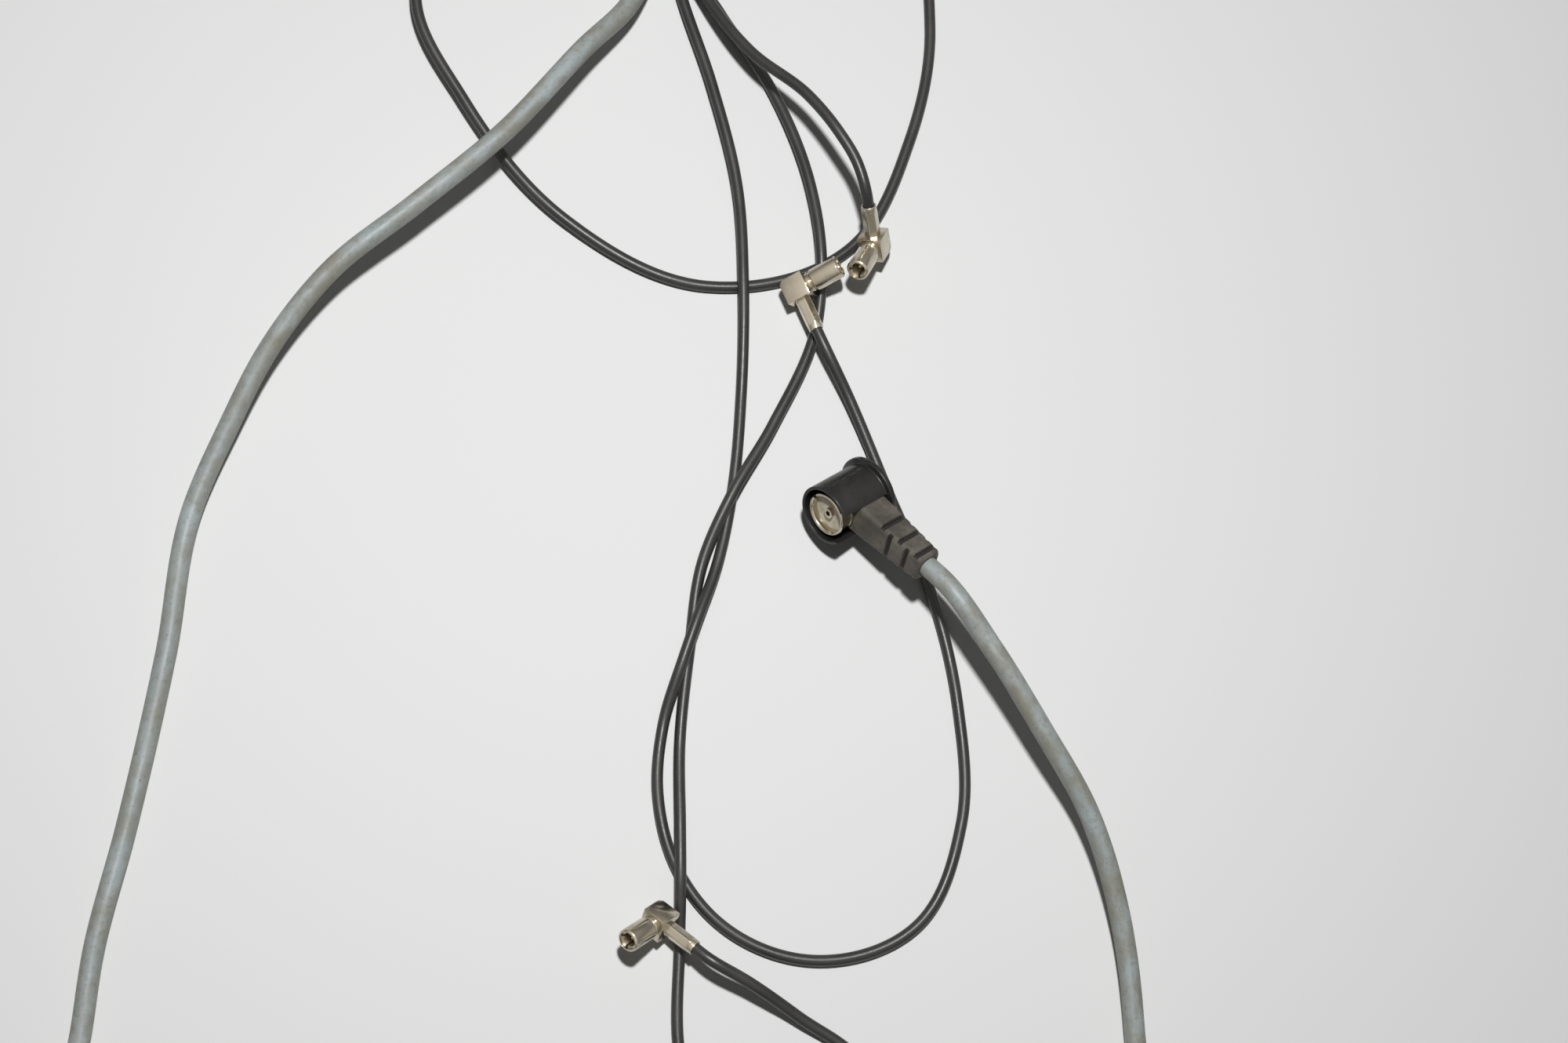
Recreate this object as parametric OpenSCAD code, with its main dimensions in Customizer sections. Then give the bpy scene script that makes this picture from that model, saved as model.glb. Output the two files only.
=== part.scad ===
// Folded wiring harness: two thin black coaxial leads and one thick grey coaxial lead, folded
// loosely on a table and held together by one cable tie.
// Each black lead ends in right-angle metal plugs, and the grey one in right-angle moulded plugs.
// The frame has +Z up from the table, +Y towards the tie, and the origin under the middle.

/* [Lay] */
// Spread of the folded harness from side to side
lay_w = 252; // [245:1:265]
// Spread of the folded harness from its front bend to the far plugs
lay_l = 392; // [385:1:410]

/* [Cables] */
// Diameter of the black leads
black_d = 2.8; // [2.6:0.1:2.9]
// Diameter of the grey lead
grey_d = 5; // [4:0.1:5.4]
// Sides of a black lead's tube
black_sides = 8; // [6:1:12]
// Sides of the grey lead's tube
grey_sides = 10; // [6:1:12]
// Gap round a lead inside a ferrule or a moulded body
lead_gap = 0.05; // [0.02:0.01:0.2]

/* [Right-angle plug] */
// Edge of the square block
block_w = 6.2; // [5.8:0.1:6.4]
// Chamfer on the block's outer corner
block_chamfer = 0.9; // [0.3:0.1:1.4]
// Diameter of the bore through the block and the neck
core_d = 2.8; // [2:0.1:3.2]
// Diameter of the neck between the block and the sleeve
neck_d = 5; // [3.8:0.1:5.2]
// Length of the neck
neck_l = 1.3; // [0.6:0.1:2]
// Diameter of the coupling sleeve
sleeve_d = 5.6; // [5.2:0.1:6.4]
// Length of the coupling sleeve beyond the neck
sleeve_l = 7.6; // [6.5:0.1:8.2]
// Wall of the coupling sleeve round its mouth
sleeve_wall = 0.65; // [0.4:0.05:0.8]
// Thickness of the coupling sleeve's floor
sleeve_floor = 1.2; // [0.8:0.1:2]
// Chamfer on the sleeve's edges
sleeve_chamfer = 0.35; // [0.1:0.05:0.4]
// Wall of the spring contact
spring_wall = 0.35; // [0.2:0.05:0.5]
// Depth of the spring contact behind the mouth
spring_depth = 0.6; // [0.4:0.1:2]
// Width of the slots in the spring contact
spring_slot = 0.5; // [0.3:0.05:0.8]
// Diameter of the centre contact
contact_d = 0.9; // [0.5:0.1:1.3]
// Depth of the centre contact behind the mouth
contact_depth = 1.8; // [1:0.1:3]
// Length of the crimp ferrule
ferrule_l = 8.2; // [7:0.1:9.5]
// Wall of the ferrule at the middle of its crimped flats
ferrule_wall = 0.3; // [0.25:0.05:0.5]
// Length of the ferrule's round, uncrimped lip
lip_l = 1.3; // [0.6:0.1:2.5]
// Wall of the ferrule's lip
lip_wall = 0.4; // [0.3:0.05:0.7]
// Diameter of the cap that closes the block's back
cap_d = 4.2; // [3.4:0.1:4.6]
// Thickness of the cap
cap_t = 0.6; // [0.4:0.1:0.9]

/* [Moulded plug] */
// Width of the moulded body at its head
head_w = 9; // [8.6:0.1:9.6]
// Width of the moulded body where the cable leaves it
tail_w = 7.2; // [6.8:0.1:8]
// Length of the moulded body from the barrel's axis to the cable's end
body_l = 26; // [24:0.5:29]
// Width cut off the moulded body's edges
body_edge = 1; // [0.5:0.1:1.2]
// Depth of the hole that the grey lead sits in
cable_seat = 12; // [8:0.5:14]
// Grooves along the strain relief
groove_count = 5; // [2:1:5]
// Width of each groove
groove_w = 1.1; // [0.6:0.1:1.5]
// Distance from groove to groove
groove_pitch = 2.7; // [2:0.1:3.2]
// Depth of each groove
groove_depth = 0.6; // [0.4:0.1:0.8]
// Diameter of the metal barrel
barrel_d = 10.2; // [9:0.1:10.8]
// Wall of the metal barrel
barrel_wall = 0.5; // [0.3:0.05:0.8]
// Length of the metal barrel in front of the moulded body
barrel_l = 4.8; // [4.5:0.1:7]
// Thickness of the rolled bead round the barrel's mouth
bead_d = 0.9; // [0.6:0.05:1.1]
// Width of the slot in the barrel's rim
rim_slot_w = 1.2; // [0.6:0.1:2]
// Depth of the slot in the barrel's rim
rim_slot_l = 2; // [1:0.1:3]
// Diameter of the barrel's tail inside the moulded body
barrel_tail_d = 6; // [5:0.1:7]
// Length of the barrel's tail inside the moulded body
barrel_tail_l = 2.4; // [1.5:0.1:4]
// Thickness of the insulating disc
disc_t = 2.4; // [1.5:0.1:3]
// Diameter of the middle contact
middle_d = 2.6; // [2:0.1:3.2]
// Bore of the middle contact
middle_bore = 1.3; // [0.8:0.1:1.6]
// Length of the middle contact in front of the insulating disc
middle_proud = 1; // [0.5:0.1:1.5]
// Diameter of the shroud
shroud_d = 15; // [14.6:0.1:16]
// Wall of the shroud
shroud_wall = 0.8; // [0.6:0.1:1.2]
// Length of the shroud in front of the barrel's rim
shroud_lead = 0.5; // [0:0.1:3]
// Width of the rim that the back flange has outside the shroud
flange_rim = 1.3; // [0.4:0.1:2]
// Thickness of the shroud's back flange
flange_t = 1.5; // [1:0.1:2.5]
// Gap on each side of the moulded body in the shroud's slot
shroud_gap = 0.05; // [0.02:0.01:0.3]

/* [Cable tie] */
// Width of the tie's band
tie_w = 3.6; // [2.5:0.1:4.8]
// Thickness of the tie's band
tie_t = 1; // [0.6:0.1:1]
// Gap between the band and the leads
tie_gap = 0.08; // [0.05:0.01:0.3]
// Edge of the tie's locking head
tie_head_w = 5; // [4.5:0.1:7]
// Height of the tie's locking head
tie_head_h = 3.6; // [3:0.1:5]
// Length of the cut tail beyond the head
tie_tail_l = 4; // [1:0.5:12]

/* [Hidden] */
$fn = 48;
fine = 0.01;
black_r = black_d / 2;
grey_r = grey_d / 2;
half = block_w / 2;
ferrule_bore = black_d + 2 * lead_gap;
ferrule_end = half + ferrule_l;
neck_end = half + neck_l;
mouth = neck_end + sleeve_l;
sleeve_bore = sleeve_d - 2 * sleeve_wall;
head_half = head_w / 2;
disc_front = head_half + barrel_wall + disc_t;
barrel_end = head_half + barrel_l;
barrel_bore = barrel_d - 2 * barrel_wall;
shroud_end = barrel_end + shroud_lead;
shroud_r = shroud_d / 2;
shroud_bore_r = shroud_r - shroud_wall;
flange_r = shroud_r + flange_rim;

// Turning a point as rotate() does, and placing it as a plug is placed
function turn_x(a, v) = [v.x, v.y * cos(a) - v.z * sin(a), v.y * sin(a) + v.z * cos(a)];
function turn_y(a, v) = [v.x * cos(a) + v.z * sin(a), v.y, v.z * cos(a) - v.x * sin(a)];
function turn_z(a, v) = [v.x * cos(a) - v.y * sin(a), v.x * sin(a) + v.y * cos(a), v.z];
function turned(t, v) = turn_z(t.z, turn_y(t.y, turn_x(t.x, v)));
function placed(pose, v) = pose[0] + turned(pose[1], v);

// Places in the lay were chosen for leads and spreads of these sizes, and follow the present ones
side_scale = lay_w / 252;
long_scale = lay_l / 392;
lift_scale = black_d / 2.8;
function laid(p, lowest) = [p.x * side_scale, p.y * long_scale, max(p.z * lift_scale, lowest)];
function route(points, r) = [for (p = points) laid(p, r)];

// How high a plug's elbow is when the edge of its back flange touches the table
function flange_rest(turns) = let (mating = turned(turns, [0, 1, 0]))
    flange_r * norm([mating.x, mating.y]) + mating.z * (head_half + flange_t);

// Where each plug lies: the place of its elbow, and its turns about X, Y and Z.
// A plug's own +X runs along its cable and its own +Y along the way it plugs in.
upper_turns = [50, -47, 109];
middle_turns = [27, -3, -66];
lower_turns = [139, -20, -39];
far_turns = [0, 0, -95];
near_aerial_turns = [155, -21, -47];
far_aerial_turns = [180, 10, -90];
upper_pose = [laid([63.5, 51.6, 7.7], 0), upper_turns];
middle_pose = [laid([44.7, 39.8, 6.7], 0), middle_turns];
lower_pose = [laid([12.1, -114, 5.2], 0.84 * block_w), lower_turns];
far_pose = [laid([19, 171, 0], max(half, sleeve_d / 2)), far_turns];
near_aerial_pose = [laid([57.5, -13.5, 0], flange_rest(near_aerial_turns)), near_aerial_turns];
far_aerial_pose = [laid([6.5, 186, 0], flange_rest(far_aerial_turns)), far_aerial_turns];
COAX_PLUGS = ["upper", "middle", "lower", "far"];
COAX_POSES = [upper_pose, middle_pose, lower_pose, far_pose];
COAX_PIECES = ["block", "sleeve", "spring", "insulator", "contact", "ferrule", "cap"];
AERIAL_PLUGS = ["near_aerial", "far_aerial"];
AERIAL_POSES = [near_aerial_pose, far_aerial_pose];
AERIAL_PIECES = ["body", "barrel", "disc", "contact", "shroud"];

// Where the leads pass through the tie, side by side and one on top, clear of the band and each other
tie_y = 133 * long_scale;
tie_straight = 3;
tie_low_z = black_r + tie_gap + tie_t + fine;
tie_grey = [8.3 * side_scale, tie_y, grey_r + tie_gap + tie_t + fine];
tie_short = tie_grey + [grey_r + black_r + 0.3, 0, tie_low_z - tie_grey.z];
tie_long_low = tie_short + [black_d + 0.3, 0, 0];
tie_long_high = [(tie_short.x + tie_long_low.x) / 2, tie_y, tie_low_z + 0.93 * black_d];

function tie_run(p) = [for (step = [-1 : 1]) p + [0, step * tie_straight, 0]];

// A lead's first points: its seat in the plug, the plug's end, and a little way straight out
function plug_start(pose, seat, end, out) = [for (x = [seat, end, end + out]) placed(pose, [x, 0, 0])];
function backwards(list) = [for (i = [len(list) - 1 : -1 : 0]) list[i]];
function coax_start(pose) = plug_start(pose, half, ferrule_end, 3);
function aerial_start(pose) = plug_start(pose, body_l - cable_seat, body_l, 5);

// The long black lead: from the upper plug over to the tie, round to the left, along the wide bow,
// round to the right, back through the tie and down, and round a last loop to the lower plug
long_route = concat(
    coax_start(upper_pose),
    route([
        [57.6, 68.6, 20.2], [53.3, 75.6, 20.8], [46, 85.6, 18.6], [32.6, 98, 13.6], [20.6, 116, 8]
    ], black_r),
    tie_run(tie_long_high),
    route([
        [11, 144.5, 7], [2, 150.5, 7.4], [-12, 152.5, 6.8], [-30, 149, 6.2], [-45.5, 133, 6.2],
        [-50, 111.5, 6.2], [-38, 86.6, 5], [-12.5, 57, 3], [22.5, 41.4, 1.5], [58, 52, 1.4],
        [73.5, 81, 1.4], [79, 112, 1.4], [72.5, 142.5, 1.4], [48, 157, 1.4], [28, 151.5, 1.4],
        [17.6, 143.4, 2.1]
    ], black_r),
    backwards(tie_run(tie_long_low)),
    route([
        [25.5, 113, 1.6], [39, 92, 2.5], [48.5, 66, 4.2], [50.8, 48.5, 4.6], [50, 33, 2.3],
        [38.8, 6, 3.2], [28.8, -11.7, 4.7], [22, -28, 2.6], [19.2, -48, 1.4], [16.9, -72, 1.4],
        [17, -92, 4], [17.1, -103, 4.7], [17.2, -118, 1.5], [17.2, -143, 1.4], [22, -164, 1.4],
        [36, -176.5, 1.4], [54.5, -175.5, 1.4], [65, -162, 1.4], [60.5, -147.5, 1.8], [45, -136, 4], [33, -128.4, 8.7]
    ], black_r),
    backwards(coax_start(lower_pose))
);

// The short black lead: from the middle plug round a teardrop loop, up across the bow and through
// the tie to the far plug
short_route = concat(
    coax_start(middle_pose),
    route([
        [57.2, 13.9, 4.4], [68, -11, 1.6], [78, -35, 1.4], [84, -62, 1.4], [84.5, -90, 1.4],
        [73, -115, 1.4], [49, -122.8, 1.4], [26, -113.8, 1.4], [17, -102.5, 1.4], [11.8, -84, 1.4],
        [13, -67, 1.6], [17.4, -52, 4.6], [20.4, -43, 4.7], [25.4, -29, 2.3], [29.2, -10.5, 1.4],
        [31.3, 14, 1.7], [31.5, 41.5, 4.7], [30, 66, 4.3], [23.5, 93, 4], [15.5, 117.5, 3.2]
    ], black_r),
    tie_run(tie_short),
    route([[14.5, 147, 1.8]], black_r),
    backwards(coax_start(far_pose))
);

// The grey lead: from the far moulded plug through the tie, down the left side, along the front
// and up the right side to the near moulded plug
grey_route = concat(
    aerial_start(far_aerial_pose),
    route([[7.6, 146, 3.2]], grey_r),
    backwards(tie_run(tie_grey)),
    route([
        [3.2, 112.3, 9], [-8.8, 96.8, 15.2], [-28.3, 73, 18.4], [-48.5, 54.8, 18], [-68.4, 38, 15.8],
        [-81.8, 20.4, 11.8], [-91.5, 1, 7.4], [-99.3, -18.4, 4.2], [-104, -52, 2.5], [-111.5, -94, 2.5],
        [-117.5, -122, 2.5], [-119.5, -141, 2.5], [-122, -158, 2.5], [-115.5, -176, 2.5], [-99, -188.5, 2.5],
        [-75, -193.5, 2.5], [-40, -194.7, 2.5], [0, -195, 2.5], [40, -194.7, 2.5], [77, -193.5, 2.5],
        [102, -188, 2.5], [118.5, -175, 2.5], [125, -157, 2.7], [124.6, -136.5, 4.2],
        [121.2, -112.5, 7.6], [113.2, -88.8, 13], [101, -69.2, 18.4], [89, -50.8, 21.4]
    ], grey_r),
    backwards(aerial_start(near_aerial_pose))
);

// The heading of a smooth curve at its middle one of three points
function unit(v) = norm(v) == 0 ? v : v / norm(v);
function heading(a, b, c) = unit(unit(b - a) * norm(c - b) + unit(c - b) * norm(b - a));

// A route with one more point halfway along each stretch, on a smooth curve through its points
// that dips no lower than the stretch's lower end
function halfway(a, b, c, d) = let (
    m = (b + c) / 2 + norm(c - b) / 8 * (heading(a, b, c) - heading(b, c, d))
) [m.x, m.y, max(m.z, min(b.z, c.z))];
function smooth(r) = let (n = len(r) - 1) [
    for (i = [0 : n]) each i == n
        ? [r[n]]
        : i == 0 || i == n - 1
            ? [r[i]]
            : [r[i], halfway(r[i - 1], r[i], r[i + 1], r[i + 2])]
];

// One ring of the tube that is swept along a list of points
function ring(p, i, r, sides) = let (
    last = len(p) - 1,
    ahead = i == 0 ? unit(p[1] - p[0])
        : i == last ? unit(p[last] - p[last - 1])
        : heading(p[i - 1], p[i], p[i + 1]),
    side = unit(cross(ahead, [0, 0, 1])),
    up = cross(side, ahead)
) [for (k = [0 : sides - 1]) let (a = 360 * k / sides - 90) p[i] + r * (cos(a) * side + sin(a) * up)];

// A solid skinned over rings of points that go clockwise, seen from the last one
module skin(rings) {
    last = len(rings) - 1;
    sides = len(rings[0]);
    walls = [
        for (i = [0 : last - 1], k = [0 : sides - 1]) let (
            a = i * sides + k,
            b = i * sides + (k + 1) % sides
        ) each [[a, b, b + sides], [a, b + sides, a + sides]]
    ];
    first_end = [for (k = [sides - 1 : -1 : 0]) k];
    last_end = [for (k = [0 : sides - 1]) last * sides + k];
    polyhedron([for (r = rings) each r], concat([first_end], walls, [last_end]), convexity = 10);
}

module tube(p, r, sides) skin([for (i = [0 : len(p) - 1]) ring(p, i, r, sides)]);

module place(pose) translate(pose[0]) rotate(pose[1]) children();

// Turning a shape that was revolved about Z so that it points along +Y or +X
module along_y() rotate([-90, 0, 0]) children();
module along_x() rotate([0, 90, 0]) children();

// Right-angle plug: the machined block at its elbow, bored through for the core
module plug_block() color("#a39a87") difference() {
    linear_extrude(block_w, center = true) polygon([
        [half, -half], [half, half], [-half, half], [-half, block_chamfer - half],
        [block_chamfer - half, -half]
    ]);
    translate([0, -half - fine, 0]) along_y() cylinder(d = core_d, h = block_w + 2 * fine);
    translate([0, -half - fine, 0]) along_y() cylinder(d = cap_d, h = cap_t + fine);
}

// Right-angle plug: the turned coupling sleeve with its narrow neck, open at the mouth
module plug_sleeve() color("#b4ab98") along_y() rotate_extrude() {
    polygon([
        [core_d / 2, half], [neck_d / 2, half], [neck_d / 2, neck_end],
        [sleeve_d / 2 - sleeve_chamfer, neck_end], [sleeve_d / 2, neck_end + sleeve_chamfer],
        [sleeve_d / 2, mouth - sleeve_chamfer], [sleeve_d / 2 - sleeve_chamfer, mouth],
        [sleeve_bore / 2, mouth], [sleeve_bore / 2, neck_end + sleeve_floor],
        [core_d / 2, neck_end + sleeve_floor]
    ]);
}

// Right-angle plug: the slotted spring contact that lines the sleeve
module plug_spring() color("#c9bfa6") difference() {
    along_y() rotate_extrude() translate([sleeve_bore / 2 - spring_wall, neck_end + sleeve_floor])
        square([spring_wall, sleeve_l - sleeve_floor - spring_depth]);
    for (a = [0, 90]) rotate([0, a, 0])
        translate([-sleeve_d / 2, neck_end + sleeve_floor + spring_wall * 2, -spring_slot / 2])
            cube([sleeve_d, sleeve_l, spring_slot]);
}

// Right-angle plug: the insulator that fills the bore and holds the centre contact
module plug_insulator() color("#d9d4c4") along_y() rotate_extrude()
    translate([contact_d / 2, 0]) square([(core_d - contact_d) / 2, neck_end + sleeve_floor]);

// Right-angle plug: the centre contact, with a rounded tip behind the mouth
module plug_contact() color("#c8a96a") along_y() {
    cylinder(d = contact_d, h = mouth - contact_depth - contact_d / 2);
    translate([0, 0, mouth - contact_depth - contact_d / 2]) sphere(d = contact_d);
}

// Right-angle plug: the crimp ferrule, six flats and a round lip where the lead goes in
module plug_ferrule() color("#aaa18d") difference() {
    translate([half, 0, 0]) along_x() {
        rotate(30) cylinder(d = (ferrule_bore + 2 * ferrule_wall) / cos(30), h = ferrule_l - lip_l, $fn = 6);
        translate([0, 0, ferrule_l - lip_l - fine]) cylinder(d = ferrule_bore + 2 * lip_wall, h = lip_l + fine);
    }
    translate([half - fine, 0, 0]) along_x() cylinder(d = ferrule_bore, h = ferrule_l + 2 * fine);
}

// Right-angle plug: the round cap pressed into the block's back
module plug_cap() color("#9d9480") translate([0, -half, 0]) along_y() cylinder(d = cap_d, h = cap_t);

module coax_piece(piece) {
    if (piece == "block") plug_block();
    if (piece == "sleeve") plug_sleeve();
    if (piece == "spring") plug_spring();
    if (piece == "insulator") plug_insulator();
    if (piece == "contact") plug_contact();
    if (piece == "ferrule") plug_ferrule();
    if (piece == "cap") plug_cap();
}

// One ring of the moulded body: a square across the cable with its corners cut off
function body_ring(x, w) = let (h = w / 2, g = h - body_edge) [
    for (p = [[h, g], [h, -g], [g, -h], [-g, -h], [-h, -g], [-h, g], [-g, h], [g, h]]) [x, p[0], p[1]]
];

// Half the moulded body's width at a distance along the cable
function body_half(x) = (head_w + (tail_w - head_w) * (x - head_half) / (body_l - body_edge - head_half)) / 2;

// Moulded plug: the body, tapered to a grooved strain relief, with a seat for the lead
module aerial_body() color("#56524b") difference() {
    skin([
        body_ring(-head_half, head_w - 2 * body_edge),
        body_ring(body_edge - head_half, head_w),
        body_ring(head_half, head_w),
        body_ring(body_l - body_edge, tail_w),
        body_ring(body_l, tail_w - body_edge)
    ]);
    for (i = [0 : groove_count - 1], side = [0, 180]) {
        x = body_l - groove_pitch * (i + 0.7);
        rotate([90 * (i % 2) + side, 0, 0])
            translate([x - groove_w / 2, -head_w, body_half(x) - groove_depth])
                cube([groove_w, 2 * head_w, head_w]);
    }
    translate([body_l - cable_seat, 0, 0]) along_x() cylinder(d = grey_d + 2 * lead_gap, h = body_l);
    translate([0, head_half - barrel_tail_l, 0]) along_y() cylinder(d = barrel_tail_d, h = body_l);
}

// Moulded plug: the metal barrel with a rolled, slotted rim and a tail in the moulded body
module aerial_barrel() color("#b1a894") difference() {
    along_y() rotate_extrude() {
        translate([middle_d, head_half]) square([barrel_d / 2 - middle_d, barrel_wall]);
        translate([middle_d, head_half - barrel_tail_l])
            square([barrel_tail_d / 2 - middle_d, barrel_tail_l + barrel_wall]);
        translate([barrel_bore / 2, head_half]) square([barrel_wall, barrel_l - bead_d / 2]);
        translate([barrel_d / 2, barrel_end - bead_d / 2]) circle(d = bead_d, $fn = 24);
    }
    rotate([0, 150, 0]) translate([0, barrel_end - rim_slot_l, -rim_slot_w / 2])
        cube([barrel_d, rim_slot_l + fine, rim_slot_w]);
}

// Moulded plug: the insulating disc in the barrel
module aerial_disc() color("#c9c3b2") along_y() rotate_extrude()
    translate([middle_d / 2, head_half + barrel_wall]) square([(barrel_bore - middle_d) / 2, disc_t]);

// Moulded plug: the hollow middle contact in the disc
module aerial_contact() color("#b9ae92") along_y() rotate_extrude()
    translate([middle_bore / 2, head_half - barrel_tail_l])
        square([(middle_d - middle_bore) / 2, disc_front + middle_proud - head_half + barrel_tail_l]);

// Moulded plug: the cup-shaped shroud round the barrel, slotted where the body leaves it
module aerial_shroud() color("#2b2b2c") difference() {
    along_y() rotate_extrude() {
        translate([0, -head_half - flange_t]) square([flange_r, flange_t]);
        translate([shroud_bore_r, -head_half]) square([shroud_wall, head_half + shroud_end]);
    }
    translate([0, -head_half, -head_half - shroud_gap])
        cube([shroud_r + fine, head_half + shroud_end + fine, head_w + 2 * shroud_gap]);
}

module aerial_piece(piece) {
    if (piece == "body") aerial_body();
    if (piece == "barrel") aerial_barrel();
    if (piece == "disc") aerial_disc();
    if (piece == "contact") aerial_contact();
    if (piece == "shroud") aerial_shroud();
}

// The leads themselves
module long_black_cable() color("#333333") tube(smooth(long_route), black_r, black_sides);
module short_black_cable() color("#363636") tube(smooth(short_route), black_r, black_sides);
module grey_cable() color("#9aa1a2") tube(smooth(grey_route), grey_r, grey_sides);

// The space inside the tie's band, grown by a margin: what a cord drawn round the leads encloses
module bundle_outline(margin) hull() {
    translate([tie_grey.x, tie_grey.z]) circle(r = grey_r + margin, $fn = 32);
    for (p = [tie_short, tie_long_low, tie_long_high])
        translate([p.x, p.z]) circle(r = black_r + margin, $fn = 32);
}

// The cable tie: its band round the leads, its locking head on top and the cut tail beyond it
module cable_tie() color("#262627") {
    top = tie_grey.z + grey_r + tie_gap;
    translate([0, tie_y + tie_w / 2, 0]) rotate([90, 0, 0]) linear_extrude(tie_w) difference() {
        union() {
            bundle_outline(tie_gap + tie_t);
            translate([tie_grey.x - tie_head_w / 2, top]) square([tie_head_w, tie_head_h]);
            translate([tie_grey.x - tie_head_w / 2 - tie_tail_l, top + tie_t])
                square([tie_tail_l + fine, tie_t]);
        }
        bundle_outline(tie_gap);
    }
}

for (i = [0 : len(COAX_PLUGS) - 1], piece = COAX_PIECES)
    place(COAX_POSES[i]) coax_piece(piece);
for (i = [0 : len(AERIAL_PLUGS) - 1], piece = AERIAL_PIECES)
    place(AERIAL_POSES[i]) aerial_piece(piece);
long_black_cable();
short_black_cable();
grey_cable();
cable_tie();
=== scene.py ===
# Folded wiring harness: the looks of its pieces, in the frame that its solids were packed in

import math

import bmesh
import bpy
from mathutils import Euler, Matrix, Vector
from mathutils.geometry import convex_hull_2d, interpolate_bezier


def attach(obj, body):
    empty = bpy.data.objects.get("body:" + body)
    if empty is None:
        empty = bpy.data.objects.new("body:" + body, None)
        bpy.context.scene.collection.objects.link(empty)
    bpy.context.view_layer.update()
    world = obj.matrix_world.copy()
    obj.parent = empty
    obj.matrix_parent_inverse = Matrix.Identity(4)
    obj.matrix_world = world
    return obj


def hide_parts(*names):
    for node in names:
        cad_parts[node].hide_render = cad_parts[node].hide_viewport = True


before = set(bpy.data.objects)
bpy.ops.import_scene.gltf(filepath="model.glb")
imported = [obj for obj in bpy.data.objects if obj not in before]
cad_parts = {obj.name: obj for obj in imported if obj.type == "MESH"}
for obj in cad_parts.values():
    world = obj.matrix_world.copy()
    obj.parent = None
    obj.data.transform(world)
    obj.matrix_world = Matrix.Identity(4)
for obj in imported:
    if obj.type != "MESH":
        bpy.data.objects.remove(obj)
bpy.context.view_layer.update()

# Camera
# It looks down on the table from the near left.
# The picture's upper edge runs along the far side of the table.
look_at = Vector((0.042, -0.017, 0))
stand = look_at + Vector((-0.075, -0.15, 0.7))
back = (stand - look_at).normalized()
right = Vector((0, 1, 0)).cross(back).normalized()
lens = bpy.data.cameras.new("photo_camera")
lens.sensor_width = 36
lens.lens = 68
camera = bpy.data.objects.new("photo_camera", lens)
turn = Matrix((right, back.cross(right), back)).transposed()
camera.matrix_world = Matrix.Translation(stand) @ turn.to_4x4()
bpy.context.scene.collection.objects.link(camera)
bpy.context.scene.camera = camera

# The long black lead
# Thin coaxial cable in a dusty, slightly scuffed black jacket, crimped into a metal plug at each end.
# It crosses the other leads in low humps. Sizes and routes are in millimetres, finished pieces in metres.
PLUG_LIES = {
    "upper": ((63.5, 51.6, 7.7), (50, -47, 109)),
    "middle": ((44.7, 39.8, 6.7), (27, -3, -66)),
    "lower": ((12.1, -114, 5.208), (139, -20, -39)),
    "far": ((19, 171, 3.1), (0, 0, -95)),
    "near_aerial": ((57.5, -13.5, 10.453), (155, -21, -47)),
    "far_aerial": ((6.5, 186, 8.8), (180, 10, -90)),
}
METAL_PLUGS = ["upper", "middle", "lower", "far"]
MOULDED_PLUGS = ["near_aerial", "far_aerial"]
MM = 0.001
THIN_R = 1.4
THICK_R = 2.5
BLOCK_HALF = 3.1
FERRULE_END = 11.3
BODY_SEAT = 14
BODY_LENGTH = 26
TIE_Y = 133
IN_THE_TIE = {
    "grey": (8.3, 3.6, THICK_R),
    "short": (12.5, 2.5, THIN_R),
    "long_back": (15.6, 2.5, THIN_R),
    "long_out": (14, 5.1, THIN_R),
}


def plug_place(plug):
    """The matrix from a plug's own millimetres to where the plug lies, in metres."""
    spot, turns = PLUG_LIES[plug]
    turn = Euler([math.radians(angle) for angle in turns], "XYZ").to_matrix().to_4x4()
    return Matrix.Scale(MM, 4) @ Matrix.Translation(spot) @ turn


def lead_start(plug, seat, end, straight):
    """A lead's first points: its seat in the plug, the plug's end, and a little way straight out."""
    return [plug_place(plug) @ Vector((x, 0, 0)) for x in (seat, end, end + straight)]


def metal_start(plug):
    """A thin lead's first points, from the block of a metal plug out through its ferrule."""
    return lead_start(plug, BLOCK_HALF, FERRULE_END, 3)


def moulded_start(plug):
    """The thick lead's first points, from deep in a moulded plug out of its end."""
    return lead_start(plug, BODY_SEAT, BODY_LENGTH, 5)


def metres(points):
    """Points in metres, from points in millimetres."""
    return [Vector(point) * MM for point in points]


def through_tie(run):
    """A lead's straight run through the tie, away from the near edge."""
    x, z, _ = IN_THE_TIE[run]
    return metres([(x, TIE_Y - 3, z), (x, TIE_Y, z), (x, TIE_Y + 3, z)])


def heading(a, b, c):
    """The direction of a smooth curve at the middle one of three points."""
    before = b - a
    after = c - b
    return (before.normalized() * after.length + after.normalized() * before.length).normalized()


def smooth_path(points, spacing=0.0016):
    """Close points on a smooth curve through the given ones, which dips no lower than they do."""
    last = len(points) - 1
    ahead = [(points[1] - points[0]).normalized()]
    ahead += [heading(points[i - 1], points[i], points[i + 1]) for i in range(1, last)]
    ahead.append((points[last] - points[last - 1]).normalized())
    path = []
    for i in range(last):
        start = points[i]
        end = points[i + 1]
        span = (end - start).length
        low = min(start.z, end.z)
        leaving = start + ahead[i] * span / 3
        arriving = end - ahead[i + 1] * span / 3
        leaving.z = max(leaving.z, low)
        arriving.z = max(arriving.z, low)
        count = max(2, round(span / spacing))
        path += interpolate_bezier(start, leaving, arriving, end, count + 1)[:-1]
    return [Vector(point) for point in path] + [points[last]]


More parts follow.
